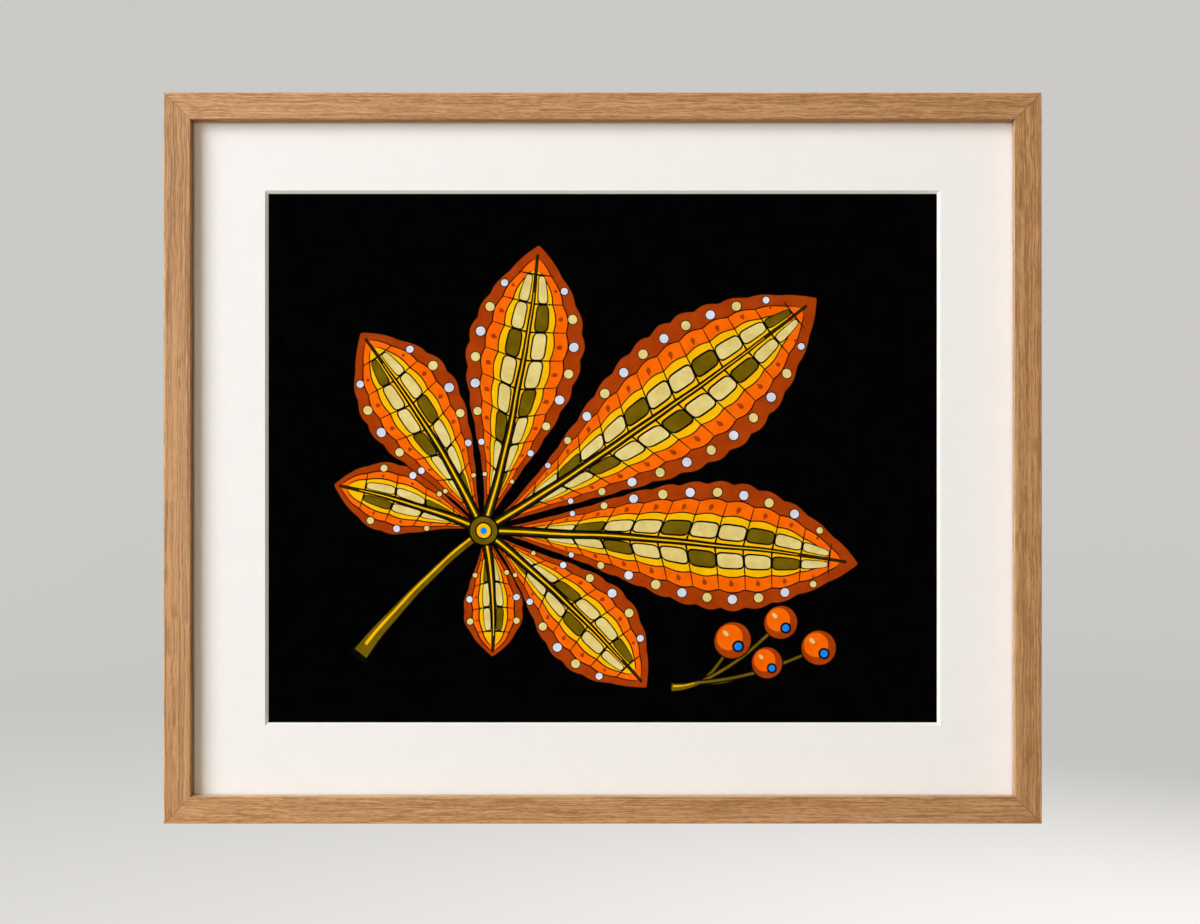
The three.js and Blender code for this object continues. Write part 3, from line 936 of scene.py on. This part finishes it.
def winds_round(outline, points):
    """How often the outline turns round each point: its edges that pass on the point's right
    count up when they climb and down when they fall."""
    start, end = outline, np.roll(outline, -1, axis=0)
    (x1, y1), (x2, y2) = start.T, end.T
    x, y = points[:, :1], points[:, 1:]
    on_right = (x2 - x1) * (y - y1) - (x - x1) * (y2 - y1)
    climbs = (y1 <= y) & (y2 > y) & (on_right > 0)
    falls = (y1 > y) & (y2 <= y) & (on_right < 0)
    return climbs.sum(axis=1) - falls.sum(axis=1)


middles = flat[flat_faces].mean(axis=1)
top_paint = np.zeros(len(middles), int)
for number, outline in enumerate(outlines):
    near = np.all((middles > outline.min(axis=0)) & (middles < outline.max(axis=0)), axis=1)
    near = np.flatnonzero(near)
    top_paint[near[winds_round(outline, middles[near]) != 0]] = number
print("shapes that still show:", len(np.unique(top_paint)), "of", len(outlines))

# %% [markdown]
# Front, back and edges become one closed mesh with a material slot for each pigment. The front is
# the fine part; the back and the four edges need only the sheet's corners.

# %% The sheet as a mesh


def painted_sheet():
    """Front: the triangles at the sheet's face. Back and edges: four corners joined round."""
    names = list(PIGMENTS)
    front = np.stack(
        [
            flat[:, 0] * MM + sheet_middle.x,
            np.full(len(flat), low.y),
            flat[:, 1] * MM + sheet_middle.z,
        ],
        axis=1,
    )
    ends = [int(np.argmin(np.linalg.norm(flat - corner, axis=1))) for corner in sheet]
    back = front[ends] + [0, high.y - low.y, 0]
    first = len(front)
    rear = [first, first + 3, first + 2, first + 1]
    rim = [[ends[(i + 1) % 4], ends[i], first + i, first + (i + 1) % 4] for i in range(4)]
    mesh = bpy.data.meshes.new("painted_sheet")
    mesh.from_pydata(
        np.concatenate([front, back]).tolist(), [], flat_faces.tolist() + [rear] + rim
    )
    pigment_of = np.array([names.index(pigment) for pigment in order])
    rest = [names.index("black")] * (1 + len(rim))
    mesh.polygons.foreach_set("material_index", pigment_of[top_paint].tolist() + rest)
    for name, (thin, thick) in PIGMENTS.items():
        mesh.materials.append(gouache(name, thin, thick))
    mesh.update()
    return mesh


print_piece = bpy.data.objects.new("painted_print", painted_sheet())
bpy.context.scene.collection.objects.link(print_piece)
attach(print_piece, "frame")
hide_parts("print")
normals = np.zeros(3 * len(print_piece.data.polygons))
print_piece.data.polygons.foreach_get("normal", normals)
fronts = normals.reshape(-1, 3)[: len(flat_faces)]
outward = int((fronts[:, 1] < -0.5).sum())
print("front triangles that look out at the viewer:", outward, "of", len(fronts))

# %% [markdown]
# Other programs want the painting as one image, and for that the sheet needs a map which lays it
# out flat. An automatic map would tear the front into islands. This one gives the front nearly
# the whole square, and the back and the edges a thin strip above it.

# %% A flat map of the sheet
UV_MARGIN = 0.002
UV_FRONT = (0.996, 0.953)
UV_PLAIN, UV_PLAIN_STEP = (0.18, 0.03), 0.2
UV_STRIP = (0.01, 0.965)


def lay_out_for_texture(mesh, front_count):
    """A UV map for the sheet as one picture: its front fills the square but for a thin strip at
    the top, where the plain back and edges lie side by side."""
    mesh.uv_layers.new(name="OFBake")
    vertex_of_loop = np.zeros(len(mesh.loops), int)
    mesh.loops.foreach_get("vertex_index", vertex_of_loop)
    spots = np.zeros(3 * len(mesh.vertices))
    mesh.vertices.foreach_get("co", spots)
    spots = spots.reshape(-1, 3)[vertex_of_loop]
    across = (spots[:, 0] - sheet_middle.x) / (2 * half_wide * MM) + 0.5
    up = (spots[:, 2] - sheet_middle.z) / (2 * half_high * MM) + 0.5
    uv = UV_MARGIN + np.stack([across, up], axis=1) * UV_FRONT
    box = np.array([(0, 0), (1, 0), (1, 1), (0, 1)]) * UV_PLAIN
    for number in range(5):
        first = 3 * front_count + 4 * number
        uv[first : first + 4] = box + UV_STRIP + [UV_PLAIN_STEP * number, 0]
    mesh.uv_layers["OFBake"].data.foreach_set("uv", uv.ravel())
    return uv


layout = lay_out_for_texture(print_piece.data, len(flat_faces))
print("the map spans:", np.round(layout.min(axis=0), 3), np.round(layout.max(axis=0), 3))

# %% [markdown]
# ## Stage, light and camera
# The picture hangs clear of everything, so that its back can be seen too. Round it lies a pale
# studio: a round floor that curves up into a wall on all sides, far away. Lamps that suit the
# picture leave such a floor dark far out, and lighting it would wash out the picture's shadows.
# So the floor is a pale surface that glows a little, but only for rays that come straight from
# the camera. For all others it is a mid grey, which throws only a weak light on the picture.

# %% Floor
FLOOR_DROP = 0.9
STUDIO_RADIUS = 7.5
COVE_RADIUS = 1.5
WALL_HEIGHT = 6.0
FLAT_RINGS = (0.5, 2.0, 4.0)
FLOOR_TONE = paint(150, 144, 134)
SEEN_TONE, GLOW_TONE = paint(162, 159, 154), paint(189, 188, 186)


def studio_floor():
    """A profile turned round the upright axis: flat floor, a quarter circle up, and the wall. A
    point is (r cos angle, r sin angle, z)."""
    floor_z = middle_z - FLOOR_DROP
    turn = np.linspace(0, np.pi / 2, 20)
    cove_r = STUDIO_RADIUS - COVE_RADIUS + COVE_RADIUS * np.sin(turn)
    cove_z = floor_z + COVE_RADIUS * (1 - np.cos(turn))
    r = np.concatenate([FLAT_RINGS, cove_r, [STUDIO_RADIUS]])
    z = np.concatenate([[floor_z] * len(FLAT_RINGS), cove_z, [floor_z + WALL_HEIGHT]])
    count = 64
    angle = np.linspace(0, 2 * np.pi, count, endpoint=False)[None, :]
    ring = np.stack([r[:, None] * np.cos(angle), r[:, None] * np.sin(angle)], axis=-1)
    height = np.broadcast_to(z[:, None, None], (*ring.shape[:2], 1))
    points = np.concatenate([ring, height], axis=-1).reshape(-1, 3)
    here = np.arange(len(r) - 1)[:, None] * count + np.arange(count)
    beside = np.arange(len(r) - 1)[:, None] * count + (np.arange(count) + 1) % count
    faces = np.stack([here, here + count, beside + count, beside], axis=-1).reshape(-1, 4)
    mesh = bpy.data.meshes.new("studio_floor")
    mesh.from_pydata(points.tolist(), [], [list(range(count))] + faces.tolist())
    mesh.shade_smooth()
    return mesh


floor_paint = Recipe("studio_floor", Roughness=0.9, Specular_IOR_Level=0.0)
seen = floor_paint.add("ShaderNodeLightPath", {}).outputs["Is Camera Ray"]
floor_colour = floor_paint.blend(seen, FLOOR_TONE, SEEN_TONE)
floor_paint.feed(
    floor_paint.shader,
    {"Base Color": floor_colour, "Emission Color": GLOW_TONE, "Emission Strength": seen},
)
floor = bpy.data.objects.new("studio_floor", studio_floor())
floor.data.materials.append(floor_paint.material)
bpy.context.scene.collection.objects.link(floor)
print("studio floor, m across:", 2 * STUDIO_RADIUS)

# %% [markdown]
# The key light is a large soft box at the upper left, whose direction and width follow the soft
# shadow that the lip throws on the mat. That shadow is brown, and the mat is no darker by the
# lower and right lips, so its fill must be a warm light from nearly straight ahead. There its
# mirror image would stand in the glass, as a flash's does, so neither glossy rays nor those of
# the glass see this lamp. A grid narrows its beam, so that no bright patch lies on the floor.
# The floor's own light comes from below and must stay weak, or the lower lip would shade the
# mat. A third box lights the back.

# %% Lights
CENTRE = Vector((0.0, 0.0, middle_z))
FILL_SPREAD = math.radians(70)
ROOM_COLOUR, ROOM_STRENGTH = (1.0, 0.82, 0.6, 1.0), 0.08


def soft_box(name, direction, distance, width, height, power, colour=(1, 1, 1)):
    """An area light at that distance from the picture's centre, turned to face it."""
    data = bpy.data.lights.new(name, "AREA")
    data.shape, data.size, data.size_y = "RECTANGLE", width, height
    data.energy, data.color = power, colour
    lamp = bpy.data.objects.new(name, data)
    lamp.location = CENTRE + Vector(direction).normalized() * distance
    lamp.rotation_euler = (CENTRE - lamp.location).to_track_quat("-Z", "Y").to_euler()
    lamp.visible_camera = False
    bpy.context.scene.collection.objects.link(lamp)
    return lamp


soft_box("key_upper_left", (-1.0, -1.0, 0.54), 4.6, 3.0, 3.3, 257, (0.868, 0.92, 0.99))
fill = soft_box("fill_by_camera", (-0.05, -1.0, 0.08), 5.0, 0.9, 0.9, 8.8, (1.0, 0.816, 0.559))
fill.data.spread = FILL_SPREAD
fill.visible_glossy = False
fill.visible_transmission = False
soft_box("back_upper_right", (0.8, 1.0, 0.7), 3.2, 2.4, 2.4, 110)

world = bpy.data.worlds.new("soft_room")
world.use_nodes = True
room = world.node_tree.nodes["Background"].inputs
room["Color"].default_value = ROOM_COLOUR
room["Strength"].default_value = ROOM_STRENGTH
bpy.context.scene.world = world
bpy.context.scene.view_settings.view_transform = "Standard"

# %% [markdown]
# The camera stands square to the picture, at the distance that makes the recess as narrow as in
# the photograph. Its place comes from measured facts: how wide the frame is in the image, and how
# far its middle is from the image's middle.

# %% Camera
IMAGE_WIDTH = 1200
FRAME_PIXELS = 878.7
OFFSET_LEFT_PIXELS, OFFSET_DOWN_PIXELS = 2.75, 3.9
CAMERA_DISTANCE = 867 * MM
SENSOR_WIDTH = 36.0  # in mm, as the lens is
pixel = 2 * half_width / FRAME_PIXELS
camera_data = bpy.data.cameras.new("camera")
camera_data.sensor_width = SENSOR_WIDTH
camera_data.lens = SENSOR_WIDTH * CAMERA_DISTANCE / (IMAGE_WIDTH * pixel)
camera = bpy.data.objects.new("camera", camera_data)
camera.location = (
    -OFFSET_LEFT_PIXELS * pixel,
    cad_box[0][1] - CAMERA_DISTANCE,
    middle_z - OFFSET_DOWN_PIXELS * pixel,
)
camera.rotation_euler = (math.pi / 2, 0, 0)
bpy.context.scene.collection.objects.link(camera)
bpy.context.scene.camera = camera
print("lens, mm:", round(camera_data.lens, 1), "one pixel, mm:", round(pixel / MM, 4))
